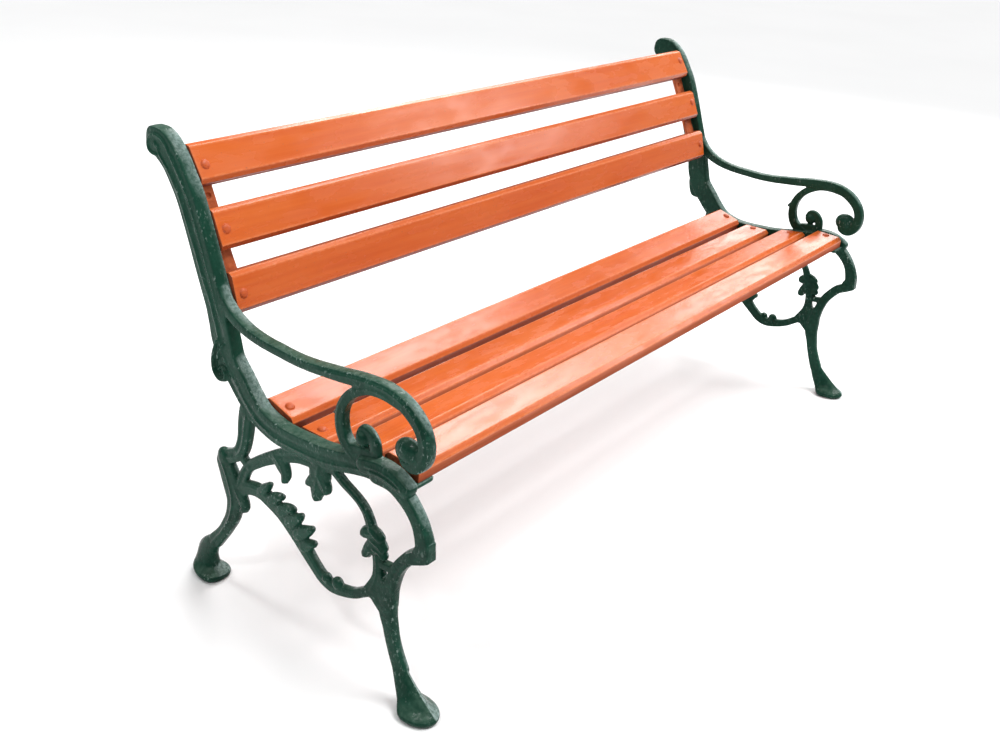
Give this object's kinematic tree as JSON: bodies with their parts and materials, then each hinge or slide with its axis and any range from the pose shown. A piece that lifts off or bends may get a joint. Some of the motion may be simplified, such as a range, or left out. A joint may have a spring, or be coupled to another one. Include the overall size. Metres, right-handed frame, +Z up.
{
  "type": "garden bench",
  "caption": "Slatted garden bench with ornamental cast-iron ends, scrolled arms and club feet, and chamfered painted slats bolted to lugs on the ends.",
  "frame": {"origin": "on the floor, under the middle of the bench's bounding box", "axes": "+X along the slats, towards the sitter's left hand; the seat faces -Y; +Z up"},
  "size_m": [1.574, 0.6508, 0.7848],
  "materials": {
    "casting_enamel": "gloss bottle-green enamel",
    "slat_paint": "semi-gloss terracotta paint",
    "bolt_paint": "semi-gloss terracotta paint",
    "nut_zinc": "dull zinc"
  },
  "bodies": {
    "root": {"end_casting_left": "casting_enamel", "end_casting_right": "casting_enamel", "back_slat_top": "slat_paint", "back_slat_middle": "slat_paint", "back_slat_bottom": "slat_paint", "seat_slat_rear": "slat_paint", "seat_slat_second": "slat_paint", "seat_slat_third": "slat_paint", "seat_slat_front": "slat_paint", "bolt_back_slat_top_left": "bolt_paint", "bolt_back_slat_top_right": "bolt_paint", "bolt_back_slat_middle_left": "bolt_paint", "bolt_back_slat_middle_right": "bolt_paint", "bolt_back_slat_bottom_left": "bolt_paint", "bolt_back_slat_bottom_right": "bolt_paint", "bolt_seat_slat_rear_left": "bolt_paint", "bolt_seat_slat_rear_right": "bolt_paint", "bolt_seat_slat_second_left": "bolt_paint", "bolt_seat_slat_second_right": "bolt_paint", "bolt_seat_slat_third_left": "bolt_paint", "bolt_seat_slat_third_right": "bolt_paint", "bolt_seat_slat_front_left": "bolt_paint", "bolt_seat_slat_front_right": "bolt_paint", "washer_back_slat_top_left": "nut_zinc", "washer_back_slat_top_right": "nut_zinc", "washer_back_slat_middle_left": "nut_zinc", "washer_back_slat_middle_right": "nut_zinc", "washer_back_slat_bottom_left": "nut_zinc", "washer_back_slat_bottom_right": "nut_zinc", "washer_seat_slat_rear_left": "nut_zinc", "washer_seat_slat_rear_right": "nut_zinc", "washer_seat_slat_second_left": "nut_zinc", "washer_seat_slat_second_right": "nut_zinc", "washer_seat_slat_third_left": "nut_zinc", "washer_seat_slat_third_right": "nut_zinc", "washer_seat_slat_front_left": "nut_zinc", "washer_seat_slat_front_right": "nut_zinc", "nut_back_slat_top_left": "nut_zinc", "nut_back_slat_top_right": "nut_zinc", "nut_back_slat_middle_left": "nut_zinc", "nut_back_slat_middle_right": "nut_zinc", "nut_back_slat_bottom_left": "nut_zinc", "nut_back_slat_bottom_right": "nut_zinc", "nut_seat_slat_rear_left": "nut_zinc", "nut_seat_slat_rear_right": "nut_zinc", "nut_seat_slat_second_left": "nut_zinc", "nut_seat_slat_second_right": "nut_zinc", "nut_seat_slat_third_left": "nut_zinc", "nut_seat_slat_third_right": "nut_zinc", "nut_seat_slat_front_left": "nut_zinc", "nut_seat_slat_front_right": "nut_zinc"}
  },
  "joints": []
}
